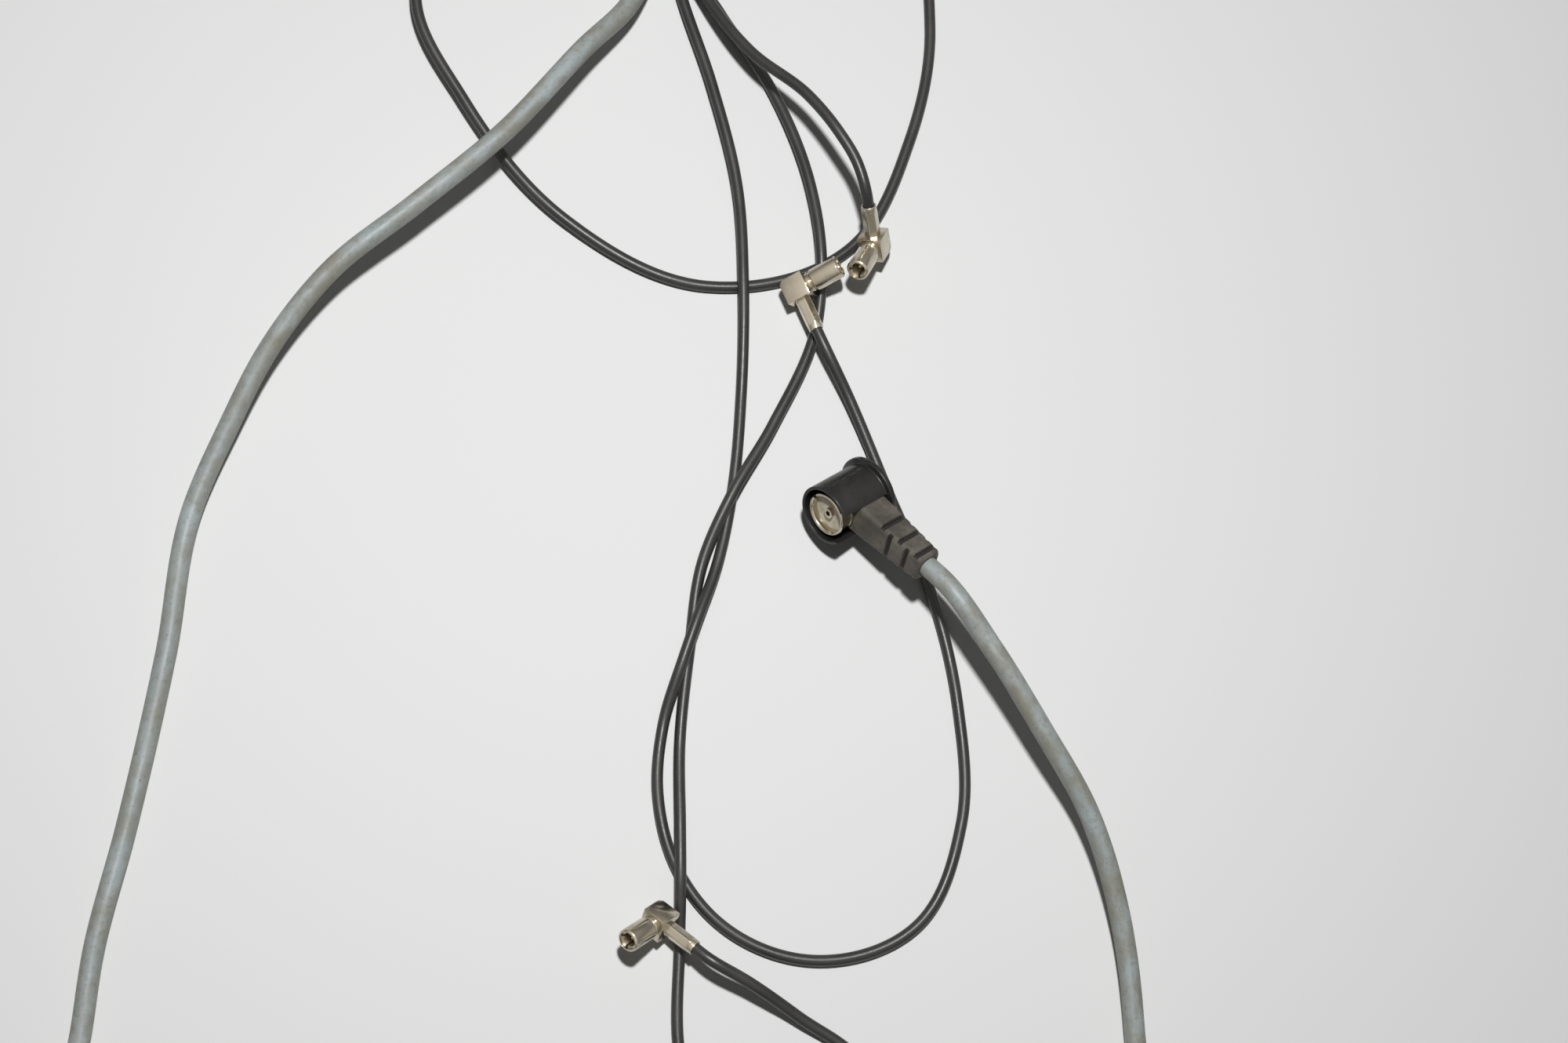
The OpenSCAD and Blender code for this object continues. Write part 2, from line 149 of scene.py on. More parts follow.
def jacket_tube(path, radius, sides):
    """A closed tube round a path. Its UV map runs along it in metres, and once round it from below."""
    bm = bmesh.new()
    layer = bm.loops.layers.uv.new("along")
    rings = []
    runs = [0.0]
    for i, point in enumerate(path):
        ahead = (path[min(i + 1, len(path) - 1)] - path[max(i - 1, 0)]).normalized()
        side = ahead.cross(Vector((0, 0, 1))).normalized()
        up = side.cross(ahead)
        angles = [2 * math.pi * k / sides - math.pi / 2 for k in range(sides)]
        ways = [math.cos(a) * side + math.sin(a) * up for a in angles]
        rings.append([bm.verts.new(point + radius * way) for way in ways])
        if i:
            runs.append(runs[-1] + (point - path[i - 1]).length)
    for i in range(len(path) - 1):
        for k in range(sides):
            n = (k + 1) % sides
            face = bm.faces.new((rings[i][k], rings[i + 1][k], rings[i + 1][n], rings[i][n]))
            corners = ((i, k), (i + 1, k), (i + 1, k + 1), (i, k + 1))
            for loop, (along, round_it) in zip(face.loops, corners):
                loop[layer].uv = (runs[along], round_it / sides)
    bm.faces.new(rings[0])
    bm.faces.new(rings[-1][::-1])
    bmesh.ops.recalc_face_normals(bm, faces=bm.faces)
    return bm


def add_piece(name, bm, finish, node, sharp=35):
    """Makes a piece of a mesh that is already in place, in metres, and lets it stand for its solid."""
    mesh = bpy.data.meshes.new(name)
    bm.to_mesh(mesh)
    bm.free()
    mesh.shade_smooth()
    mesh.set_sharp_from_angle(angle=math.radians(sharp))
    mesh.materials.append(finish)
    piece = bpy.data.objects.new(name, mesh)
    bpy.context.scene.collection.objects.link(piece)
    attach(piece, "root")
    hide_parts(node)
    return piece


def colour(code):
    """A hex colour as the linear one that a shader takes."""
    parts = [int(code[i:i + 2], 16) / 255 for i in (1, 3, 5)]
    return [part / 12.92 if part < 0.04045 else ((part + 0.055) / 1.055) ** 2.4 for part in parts] + [1]


def new_finish(name, base, roughness, metallic=0):
    """A material with one shader, and that shader."""
    finish = bpy.data.materials.new(name)
    finish.use_nodes = True
    shader = finish.node_tree.nodes["Principled BSDF"]
    shader.inputs["Base Color"].default_value = colour(base)
    shader.inputs["Roughness"].default_value = roughness
    shader.inputs["Metallic"].default_value = metallic
    return finish, shader


def add_node(finish, kind, **inputs):
    """A node whose inputs are set by name, or linked where another node's output is given."""
    node = finish.node_tree.nodes.new(kind)
    for name, value in inputs.items():
        socket = node.inputs[name.replace("_", " ")]
        if isinstance(value, bpy.types.NodeSocket):
            finish.node_tree.links.new(value, socket)
        else:
            socket.default_value = value
    return node


def spots(finish, where, scale, low, high, detail=4, roughness=0.55):
    """A mask from 0 to 1 in cloudy spots: more of it shows as low and high come down."""
    cloud = add_node(finish, "ShaderNodeTexNoise", Vector=where, Scale=scale, Detail=detail,
                     Roughness=roughness)
    mask = add_node(finish, "ShaderNodeMapRange", Value=cloud.outputs["Fac"], From_Min=low, From_Max=high)
    return mask.outputs["Result"]


def mixed(finish, mask, under, over):
    """One colour laid over another where the mask is 1."""
    mix = finish.node_tree.nodes.new("ShaderNodeMix")
    mix.data_type = "RGBA"
    finish.node_tree.links.new(mask, mix.inputs[0])
    for socket, value in ((mix.inputs[6], under), (mix.inputs[7], over)):
        if isinstance(value, bpy.types.NodeSocket):
            finish.node_tree.links.new(value, socket)
        else:
            socket.default_value = colour(value)
    return mix.outputs[2]


def faded(finish, mask, share):
    """A mask made weaker."""
    weak = add_node(finish, "ShaderNodeMapRange", Value=mask, To_Max=share)
    return weak.outputs["Result"]


def set_surface(finish, shader, base, rough_mask, smooth, rough, height, depth):
    """Links a surface's colour, its roughness between two values, and its fine relief in metres."""
    links = finish.node_tree.links
    links.new(base, shader.inputs["Base Color"])
    gloss = add_node(finish, "ShaderNodeMapRange", Value=rough_mask, To_Min=smooth, To_Max=rough)
    links.new(gloss.outputs["Result"], shader.inputs["Roughness"])
    relief = add_node(finish, "ShaderNodeBump", Height=height, Distance=depth, Strength=1.0)
    links.new(relief.outputs["Normal"], shader.inputs["Normal"])


black_jacket, shader = new_finish("black_jacket", "#3a3a39", 0.45)
place = add_node(black_jacket, "ShaderNodeTexCoord").outputs
streaky = add_node(black_jacket, "ShaderNodeMapping", Vector=place["UV"], Scale=(60, 6, 1))
haze = spots(black_jacket, place["Object"], 90, 0.4, 0.7)
specks = spots(black_jacket, place["Object"], 2600, 0.7, 0.75, detail=2)
scuffs = spots(black_jacket, streaky.outputs["Vector"], 3, 0.56, 0.72)
tone = mixed(black_jacket, faded(black_jacket, haze, 0.6), "#2a2a2a", "#3b3a38")
tone = mixed(black_jacket, faded(black_jacket, scuffs, 0.2), tone, "#5a5853")
tone = mixed(black_jacket, faded(black_jacket, specks, 0.3), tone, "#7d7a72")
grain = spots(black_jacket, place["Object"], 2400, 0.3, 0.7)
set_surface(black_jacket, shader, tone, haze, 0.34, 0.46, grain, 0.000012)

LONG_ROUTE = (
    metal_start("upper")
    + metres([(57.6, 68.6, 20.2), (53.3, 75.6, 20.8), (46, 85.6, 18.6), (32.6, 98, 13.6), (20.6, 116, 8)])
    + through_tie("long_out")
    + metres([
        (11, 144.5, 7), (2, 150.5, 7.4), (-12, 152.5, 6.8), (-30, 149, 6.2), (-45.5, 133, 6.2),
        (-50, 111.5, 6.2), (-38, 86.6, 5), (-12.5, 57, 3), (22.5, 41.4, 1.5), (58, 52, 1.4),
        (73.5, 81, 1.4), (79, 112, 1.4), (72.5, 142.5, 1.4), (48, 157, 1.4), (28, 151.5, 1.4),
        (17.6, 143.4, 2.1),
    ])
    + through_tie("long_back")[::-1]
    + metres([
        (25.5, 113, 1.6), (39, 92, 2.5), (48.5, 66, 4.2), (50.8, 48.5, 4.6), (50, 33, 2.3),
        (38.8, 6, 3.2), (28.8, -11.7, 4.7), (22, -28, 2.6), (19.2, -48, 1.4), (16.9, -72, 1.4),
        (17, -92, 4), (17.1, -103, 4.7), (17.2, -118, 1.5), (17.2, -143, 1.4), (22, -164, 1.4),
        (36, -176.5, 1.4), (54.5, -175.5, 1.4), (65, -162, 1.4), (60.5, -147.5, 1.8), (45, -136, 4),
        (33, -128.4, 8.7),
    ])
    + metal_start("lower")[::-1]
)
long_path = smooth_path(LONG_ROUTE)
long_lead = add_piece("long_black_lead", jacket_tube(long_path, THIN_R * MM, 16), black_jacket,
                      "long_black_cable", sharp=60)

# The short black lead
# The same thin cable, from the middle plug round a teardrop loop and up through the tie.
# It ends in the far plug, which lies beside the far moulded one.
SHORT_ROUTE = (
    metal_start("middle")
    + metres([
        (57.2, 13.9, 4.4), (68, -11, 1.6), (78, -35, 1.4), (84, -62, 1.4), (84.5, -90, 1.4),
        (73, -115, 1.4), (49, -122.8, 1.4), (26, -113.8, 1.4), (17, -102.5, 1.4), (11.8, -84, 1.4),
        (13, -67, 1.6), (17.4, -52, 4.6), (20.4, -43, 4.7), (25.4, -29, 2.3), (29.2, -10.5, 1.4),
        (31.3, 14, 1.7), (31.5, 41.5, 4.7), (30, 66, 4.3), (23.5, 93, 4), (15.5, 117.5, 3.2),
    ])
    + through_tie("short")
    + metres([(14.5, 147, 1.8)])
    + metal_start("far")[::-1]
)
short_path = smooth_path(SHORT_ROUTE)
short_lead = add_piece("short_black_lead", jacket_tube(short_path, THIN_R * MM, 16), black_jacket,
                       "short_black_cable", sharp=60)

# The grey lead
# Thicker coaxial cable in a blue-grey jacket, stained with dry brown dirt; its sides carry painted shade,
# partly dirt, below a lighter crest.
# It runs from the far moulded plug through the tie and round the front to the near one.
grey_jacket, shader = new_finish("grey_jacket", "#9aa3a6", 0.5)
place = add_node(grey_jacket, "ShaderNodeTexCoord").outputs
cloudy = spots(grey_jacket, place["Object"], 45, 0.35, 0.7)
stretched = add_node(grey_jacket, "ShaderNodeMapping", Vector=place["UV"], Scale=(50, 2.2, 1))
smears = spots(grey_jacket, stretched.outputs["Vector"], 1, 0.43, 0.6, detail=8, roughness=0.68)
soiled = spots(grey_jacket, place["Object"], 9, 0.35, 0.6, detail=1)
in_both = add_node(grey_jacket, "ShaderNodeMath", Value=smears)
in_both.operation = "MULTIPLY"
grey_jacket.node_tree.links.new(soiled, in_both.inputs[1])
stains = in_both.outputs["Value"]
# Painted shade: a mask that darkens the jacket towards its sides and away from its top crest, with a
# ragged edge, so the crest reads as a painted highlight.
round_it = add_node(grey_jacket, "ShaderNodeSeparateXYZ", Vector=place["UV"]).outputs["Y"]
from_below = add_node(grey_jacket, "ShaderNodeMath", Value=round_it)
from_below.operation = "PINGPONG"
from_below.inputs[1].default_value = 0.5
ragged = add_node(grey_jacket, "ShaderNodeTexNoise", Vector=place["Object"], Scale=130, Detail=6,
                  Roughness=0.62)
edge = add_node(grey_jacket, "ShaderNodeMath", Value=from_below.outputs["Value"])
edge.operation = "ADD"
grey_jacket.node_tree.links.new(ragged.outputs["Fac"], edge.inputs[1])
painted_side_shade = add_node(grey_jacket, "ShaderNodeMapRange", Value=edge.outputs["Value"], From_Min=0.97,
                     From_Max=0.83)
sides = painted_side_shade.outputs["Result"]
crumbs = spots(grey_jacket, place["Object"], 700, 0.52, 0.66, detail=5, roughness=0.6)
specks = spots(grey_jacket, place["Object"], 1300, 0.68, 0.72, detail=2)
tone = mixed(grey_jacket, cloudy, "#98a1a2", "#a7b0b1")
# The sides get painted shade, partly dirt, in grey-brown.
tone = mixed(grey_jacket, faded(grey_jacket, sides, 0.7), tone, "#8c8b82")
tone = mixed(grey_jacket, faded(grey_jacket, stains, 0.75), tone, "#837e6c")
tone = mixed(grey_jacket, faded(grey_jacket, crumbs, 0.3), tone, "#6f6a57")
tone = mixed(grey_jacket, faded(grey_jacket, specks, 0.5), tone, "#5c574b")
grain = spots(grey_jacket, place["Object"], 900, 0.3, 0.7)
set_surface(grey_jacket, shader, tone, stains, 0.45, 0.68, grain, 0.00003)

GREY_ROUTE = (
    moulded_start("far_aerial")
    + metres([(7.6, 146, 3.2)])
    + through_tie("grey")[::-1]
    + metres([
        (3.2, 112.3, 9), (-8.8, 96.8, 15.2), (-28.3, 73, 18.4), (-48.5, 54.8, 18), (-68.4, 38, 15.8),
        (-81.8, 20.4, 11.8), (-91.5, 1, 7.4), (-99.3, -18.4, 4.2), (-104, -52, 2.5), (-111.5, -94, 2.5),
        (-117.5, -122, 2.5), (-119.5, -141, 2.5), (-122, -158, 2.5), (-115.5, -176, 2.5),
        (-99, -188.5, 2.5), (-75, -193.5, 2.5), (-40, -194.7, 2.5), (0, -195, 2.5), (40, -194.7, 2.5),
        (77, -193.5, 2.5),
        (102, -188, 2.5), (118.5, -175, 2.5), (125, -157, 2.7), (124.6, -136.5, 4.2),
        (121.2, -112.5, 7.6), (113.2, -88.8, 13), (101, -69.2, 18.4), (89, -50.8, 21.4),
    ])
    + moulded_start("near_aerial")[::-1]
)
grey_path = smooth_path(GREY_ROUTE)
grey_lead = add_piece("grey_lead", jacket_tube(grey_path, THICK_R * MM, 24), grey_jacket,
                      "grey_cable", sharp=60)

# Blocks of the metal plugs
# Each is milled from brass and nickel plated, with its edges broken and its outer corner cut off.
# The sleeve and the ferrule are pressed into two of its faces, and a round cap closes its back.
nickel, shader = new_finish("nickel", "#b3aa99", 0.3, metallic=1)
place = add_node(nickel, "ShaderNodeTexCoord").outputs
tarnish = spots(nickel, place["Object"], 300, 0.44, 0.7, detail=5)
wear = spots(nickel, place["Object"], 2600, 0.58, 0.68, detail=3)
tone = mixed(nickel, faded(nickel, tarnish, 0.55), "#c9c1b0", "#a69b85")
tone = mixed(nickel, faded(nickel, wear, 0.2), tone, "#ddd7ca")
rub = spots(nickel, place["Object"], 900, 0.25, 0.75, detail=4)
set_surface(nickel, shader, tone, tarnish, 0.17, 0.3, rub, 0.000006)


def without(bm, cutter):
    """A mesh with another one cut out of it."""
    both = []
    for part in (bm, cutter):
        mesh = bpy.data.meshes.new("cut")
        part.to_mesh(mesh)
        part.free()
        both.append(bpy.data.objects.new("cut", mesh))
        bpy.context.scene.collection.objects.link(both[-1])
    taken = both[0].modifiers.new("taken", "BOOLEAN")
    taken.operation = "DIFFERENCE"
    taken.solver = "EXACT"
    taken.object = both[1]
    left = bpy.data.meshes.new_from_object(both[0].evaluated_get(bpy.context.evaluated_depsgraph_get()))
    for part in both:
        bpy.data.objects.remove(part)
    result = bmesh.new()
    result.from_mesh(left)
    bpy.data.meshes.remove(left)
    return result


def box_mesh(low, high, edge=0.0):
    """A box between two corners, with its edges rounded."""
    bm = bmesh.new()
    bmesh.ops.create_cube(bm, size=1)
    size = Vector(high) - Vector(low)
    bm.transform(Matrix.Translation((Vector(low) + Vector(high)) / 2) @ Matrix.Diagonal((*size, 1)))
    if edge:
        bmesh.ops.bevel(bm, geom=bm.edges[:], offset=edge, segments=3, profile=0.5, affect="EDGES")
    return bm


def eased(outline, radius, steps=3):
    """A closed outline with each of its corners rounded off."""
    points = [Vector(point) for point in outline]
    result = []
    for i, corner in enumerate(points):
        before = points[i - 1] - corner
        after = points[(i + 1) % len(points)] - corner
        reach = min(radius, before.length * 0.45, after.length * 0.45)
        start = corner + before.normalized() * reach
        end = corner + after.normalized() * reach
        for k in range(steps + 1):
            t = k / steps
            result.append(start * (1 - t) ** 2 + corner * 2 * t * (1 - t) + end * t ** 2)
    return result


def turned(outline, sides):
    """A closed outline of radius and height, turned about the way the plug mates."""
    bm = bmesh.new()
    rings = []
    for k in range(sides):
        a = 2 * math.pi * k / sides
        rings.append([bm.verts.new((r * math.cos(a), y, r * math.sin(a))) for r, y in outline])
    count = len(outline)
    for k in range(sides):
        for i in range(count):
            n = (i + 1) % count
            after = rings[(k + 1) % sides]
            bm.faces.new((rings[k][i], rings[k][n], after[n], after[i]))
    bmesh.ops.remove_doubles(bm, verts=bm.verts, dist=0.0001)
    bmesh.ops.dissolve_degenerate(bm, edges=bm.edges, dist=0.0001)
    bmesh.ops.recalc_face_normals(bm, faces=bm.faces)
    return bm


BLOCK_CUT = 0.9
RECESS_R = 2.1
RECESS_DEPTH = 0.6
CAP_R = 2.06
CAP_SUNK = 0.03
plug_pieces = {plug: [] for plug in PLUG_LIES}


def add_plug_piece(plug, name, bm, finish, node, sharp=35):
    """Makes a piece of a mesh in a plug's own millimetres, and counts it with that plug."""
    bm.transform(plug_place(plug))
    plug_pieces[plug].append(add_piece(plug + name, bm, finish, plug + node, sharp))


for plug in METAL_PLUGS:
    h = BLOCK_HALF
    bm = bmesh.new()
    outline = [(h, -h), (h, h), (-h, h), (-h, BLOCK_CUT - h), (BLOCK_CUT - h, -h)]
    lower = [bm.verts.new((x, y, -h)) for x, y in outline]
    upper = [bm.verts.new((x, y, h)) for x, y in outline]
    bm.faces.new(lower[::-1])
    bm.faces.new(upper)
    for i in range(len(outline)):
        n = (i + 1) % len(outline)
        bm.faces.new((lower[i], lower[n], upper[n], upper[i]))
    bmesh.ops.recalc_face_normals(bm, faces=bm.faces)
    bmesh.ops.bevel(bm, geom=bm.edges[:], offset=0.22, segments=2, profile=0.5, affect="EDGES")
    floor = RECESS_DEPTH - h
    recess = turned([(0, -h - 0.5), (RECESS_R, -h - 0.5), (RECESS_R, floor), (0, floor)], 48)
    add_plug_piece(plug, "_block", without(bm, recess), nickel, "_plug_block")
    top = CAP_SUNK - h
    bm = turned(eased([(0, top), (CAP_R, top), (CAP_R, floor), (0, floor)], 0.1), 48)
    add_plug_piece(plug, "_cap", bm, nickel, "_plug_cap")

# Coupling sleeves of the metal plugs
# Each is a turned, nickel-plated tube on a short neck, open at its mouth to take the jack.
# A fine groove parts it from the neck, and its lips are slightly rounded.
SLEEVE = [
    (1.4, 3.1), (2.5, 3.1), (2.5, 3.9), (2.3, 4), (2.3, 4.25), (2.45, 4.4), (2.8, 4.75),
    (2.8, 11.65), (2.45, 12), (2.2, 12), (2.15, 11.9), (2.15, 5.6), (1.4, 5.6),
]
for plug in METAL_PLUGS:
    bm = turned(eased(SLEEVE, 0.14), 64)
    add_plug_piece(plug, "_sleeve", bm, nickel, "_plug_sleeve")

# Spring contacts of the metal plugs
# A slotted brass tube lines each sleeve, and its fingers lean in to grip the jack.
# The fingers are copies of one curved leaf, set round the plug's axis on a plain ring.
spring_brass, shader = new_finish("spring_brass", "#cabf9f", 0.28, metallic=1)
place = add_node(spring_brass, "ShaderNodeTexCoord").outputs
dull = spots(spring_brass, place["Object"], 900, 0.45, 0.65)
tone = mixed(spring_brass, dull, "#ebe6d9", "#cdc4ae")
rub = spots(spring_brass, place["Object"], 2200, 0.3, 0.7)
set_surface(spring_brass, shader, tone, dull, 0.34, 0.5, rub, 0.00001)

fingers = bpy.data.node_groups.new("fingers_round_the_axis", "GeometryNodeTree")
fingers.is_modifier = True
fingers.interface.new_socket("Leaf", in_out="INPUT", socket_type="NodeSocketGeometry")
finger_count = fingers.interface.new_socket("Fingers", in_out="INPUT", socket_type="NodeSocketInt")
finger_finish = fingers.interface.new_socket("Finish", in_out="INPUT", socket_type="NodeSocketMaterial")
fingers.interface.new_socket("Spring", in_out="OUTPUT", socket_type="NodeSocketGeometry")
given = fingers.nodes.new("NodeGroupInput")
result = fingers.nodes.new("NodeGroupOutput")
seats = fingers.nodes.new("GeometryNodeMeshLine")
seats.inputs["Offset"].default_value = (0, 0, 0)
number = fingers.nodes.new("GeometryNodeInputIndex")
share = fingers.nodes.new("ShaderNodeMath")
share.operation = "DIVIDE"
angle = fingers.nodes.new("ShaderNodeMath")
angle.operation = "MULTIPLY"
angle.inputs[1].default_value = 2 * math.pi
spin = fingers.nodes.new("ShaderNodeCombineXYZ")
copies = fingers.nodes.new("GeometryNodeInstanceOnPoints")
solid = fingers.nodes.new("GeometryNodeRealizeInstances")
painted = fingers.nodes.new("GeometryNodeSetMaterial")
for start, end in (
    (given.outputs["Fingers"], seats.inputs["Count"]),
    (number.outputs["Index"], share.inputs[0]),
    (given.outputs["Fingers"], share.inputs[1]),
    (share.outputs["Value"], angle.inputs[0]),
    (angle.outputs["Value"], spin.inputs["Y"]),
    (seats.outputs["Mesh"], copies.inputs["Points"]),
    (given.outputs["Leaf"], copies.inputs["Instance"]),
    (spin.outputs["Vector"], copies.inputs["Rotation"]),
    (copies.outputs["Instances"], solid.inputs["Geometry"]),
    (solid.outputs["Geometry"], painted.inputs["Geometry"]),
    (given.outputs["Finish"], painted.inputs["Material"]),
    (painted.outputs["Geometry"], result.inputs["Spring"]),
):
    fingers.links.new(start, end)


def grown(bm, tree, inputs):
    """The mesh that a node tree makes of another mesh."""
    mesh = bpy.data.meshes.new("grown")
    bm.to_mesh(mesh)
    bm.free()
    holder = bpy.data.objects.new("grown", mesh)
    bpy.context.scene.collection.objects.link(holder)
    maker = holder.modifiers.new("maker", "NODES")
    maker.node_group = tree
    for socket, value in inputs:
        maker[socket.identifier] = value
    made = bpy.data.meshes.new_from_object(holder.evaluated_get(bpy.context.evaluated_depsgraph_get()))
    holder.modifiers.remove(maker)
    bpy.data.objects.remove(holder)
    result = bmesh.new()
    result.from_mesh(made)
    bpy.data.meshes.remove(made)
    return result


def skinned(rings, closed=False):
    """A mesh over rings of points, with its ends filled, or joined end to end."""
    bm = bmesh.new()
    verts = [[bm.verts.new(point) for point in ring] for ring in rings]
    sides = len(rings[0])
    pairs = list(zip(verts, verts[1:]))
    if closed:
        pairs.append((verts[-1], verts[0]))
    for one, other in pairs:
        for k in range(sides):
            n = (k + 1) % sides
            bm.faces.new((one[k], one[n], other[n], other[k]))
    if not closed:
        bm.faces.new(verts[0][::-1])
        bm.faces.new(verts[-1])
    bmesh.ops.recalc_face_normals(bm, faces=bm.faces)
    return bm


def take_in(bm, other):
    """Adds another mesh to a mesh."""
    mesh = bpy.data.meshes.new("taken_in")
    other.to_mesh(mesh)
    other.free()
    bm.from_mesh(mesh)
    bpy.data.meshes.remove(mesh)


FINGER_COUNT = 4
FINGER_OUTER_R = 2.12
FINGER_INNER_R = 1.8
LEAF_HALF_ANGLE = math.radians(37)
LEAF = [(6.2, 0), (7.1, 0), (8.2, 0.06), (9.2, 0.14), (10, 0.2), (10.6, 0.2), (11, 0.12), (11.3, 0.03)]
for plug in METAL_PLUGS:
    rings = []
    for y, lean in LEAF:
        arc = [LEAF_HALF_ANGLE * (k / 5 - 1) for k in range(11)]
        corners = [(FINGER_OUTER_R - lean, a) for a in arc]
        corners += [(FINGER_INNER_R - lean, a) for a in arc[::-1]]
        rings.append([(r * math.cos(a), y, r * math.sin(a)) for r, a in corners])
    bm = grown(skinned(rings), fingers, [(finger_count, FINGER_COUNT), (finger_finish, spring_brass)])
    bmesh.ops.rotate(bm, verts=bm.verts, matrix=Matrix.Rotation(math.radians(45), 3, "Y"))
    collar = turned(eased([(1.8, 5.6), (2.13, 5.6), (2.13, 6.3), (1.8, 6.3)], 0.05), 48)
    take_in(bm, collar)
    add_plug_piece(plug, "_spring", bm, spring_brass, "_plug_spring")

# Insulators and centre contacts of the metal plugs
# A turned pale insulator fills the bore of each plug and holds a thin gold-coloured contact.
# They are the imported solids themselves, with finishes of their own.
pale_insulator, shader = new_finish("pale_insulator", "#d9d4c4", 0.5)
place = add_node(pale_insulator, "ShaderNodeTexCoord").outputs
age = spots(pale_insulator, place["Object"], 500, 0.4, 0.7)
tone = mixed(pale_insulator, age, "#dcd7c8", "#bfb7a2")
set_surface(pale_insulator, shader, tone, age, 0.4, 0.6, age, 0.00002)
gold_contact, shader = new_finish("gold_contact", "#c8a96a", 0.25, metallic=1)
place = add_node(gold_contact, "ShaderNodeTexCoord").outputs
worn = spots(gold_contact, place["Object"], 1600, 0.45, 0.65)
tone = mixed(gold_contact, worn, "#cdae6e", "#a9925f")
set_surface(gold_contact, shader, tone, worn, 0.18, 0.38, worn, 0.00001)
for plug in METAL_PLUGS:
    for piece, finish in (("insulator", pale_insulator), ("contact", gold_contact)):
        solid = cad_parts[plug + "_plug_" + piece]
        solid.material_slots[0].material = finish
        plug_pieces[plug].append(solid)

# Ferrules of the metal plugs
# Each is a thin nickel-plated tube, crimped to six flats over the lead's braid.
# The last millimetre, where the lead goes in, is left round.
FERRULE = [
    (BLOCK_HALF, 1, 0), (3.3, 1, 0), (3.6, 1, 0), (9.4, 1, 0), (9.7, 0.85, 0), (9.95, 0.35, 0),
    (10.15, 0, 0), (11, 0, 0), (11.2, 0, -0.05), (FERRULE_END, 0, -0.15),
]
FLAT_REACH = 1.75
EDGE_REACH = 1.97
LIP_R = 1.85
LEAD_BORE = 1.45
for plug in METAL_PLUGS:
    rings = []
    turns = [2 * math.pi * k / 72 for k in range(72)]
    for x, crimp, grow in FERRULE:
        ring = []
        for a in turns:
            off = (a + math.pi / 6) % (math.pi / 3) - math.pi / 6
            r = crimp * min(FLAT_REACH / math.cos(off), EDGE_REACH) + (1 - crimp) * LIP_R + grow
            ring.append((x, r * math.sin(a), r * math.cos(a)))
        rings.append(ring)
    for x, r in ((FERRULE_END, 1.52), (11.2, LEAD_BORE), (BLOCK_HALF, LEAD_BORE)):
        rings.append([(x, r * math.sin(a), r * math.cos(a)) for a in turns])
    bm = skinned(rings, closed=True)
    add_plug_piece(plug, "_ferrule", bm, nickel, "_plug_ferrule", 24)

# Bodies of the moulded plugs
# Each is moulded in one piece over its lead, dull and dusty, and tapers to a bendy strain relief.
# Grooves cross it on two sides in turn, painted dark inside by their depth as painted shade, and the lead
# comes out of a round hole.
dusty_rubber, shader = new_finish("dusty_rubber", "#57534c", 0.7)
place = add_node(dusty_rubber, "ShaderNodeTexCoord").outputs
dust = spots(dusty_rubber, place["Object"], 170, 0.4, 0.68, detail=7, roughness=0.6)
marks = spots(dusty_rubber, place["Object"], 650, 0.56, 0.68, detail=5)
flecks = spots(dusty_rubber, place["Object"], 2600, 0.69, 0.74, detail=2)
tone = mixed(dusty_rubber, dust, "#47433d", "#6d685e")
tone = mixed(dusty_rubber, faded(dusty_rubber, marks, 0.45), tone, "#37342f")
tone = mixed(dusty_rubber, faded(dusty_rubber, flecks, 0.45), tone, "#8c8577")
# Painted shade: each point is darkened by how deep it lies in a groove, as shade in the recesses.
painted_groove_shade = add_node(dusty_rubber, "ShaderNodeAttribute")
painted_groove_shade.attribute_name = "groove"
tone = mixed(dusty_rubber, painted_groove_shade.outputs["Fac"], tone, "#1c1a18")
skin_grain = spots(dusty_rubber, place["Object"], 1500, 0.3, 0.7)
set_surface(dusty_rubber, shader, tone, dust, 0.58, 0.82, skin_grain, 0.00006)

HEAD_HALF = 4.5
TAIL_HALF = 3.6
CORNER_R = 1.5
LAST_GROOVE = 24.11
GROOVE_STEP = 2.7
GROOVES = [(LAST_GROOVE - GROOVE_STEP * i, i % 2) for i in range(5)]
GROOVE_DEPTH = 0.85
GROOVE_HALF = 0.75
GROOVE_SLOPE = 0.26


def body_half(x):
    """Half the body's width at a distance along its lead, its ends rounded over."""
    if x > BODY_LENGTH - 1:
        return TAIL_HALF - 0.5 * (x - BODY_LENGTH + 1) ** 2
    if x > HEAD_HALF:
        return HEAD_HALF + (TAIL_HALF - HEAD_HALF) * (x - HEAD_HALF) / (BODY_LENGTH - 1 - HEAD_HALF)
    over = max(0, CORNER_R - (x + HEAD_HALF))
    return HEAD_HALF - CORNER_R + math.sqrt(CORNER_R ** 2 - over ** 2)


def groove_depth(x, side):
    """How deep the body is grooved at a distance along its lead, on one pair of sides."""
    deepest = 0
    for middle, grooved_side in GROOVES:
        if grooved_side == side:
            share = min(1, max(0, (GROOVE_HALF - abs(x - middle)) / GROOVE_SLOPE))
            deepest = max(deepest, GROOVE_DEPTH * share * share * (3 - 2 * share))
    return deepest


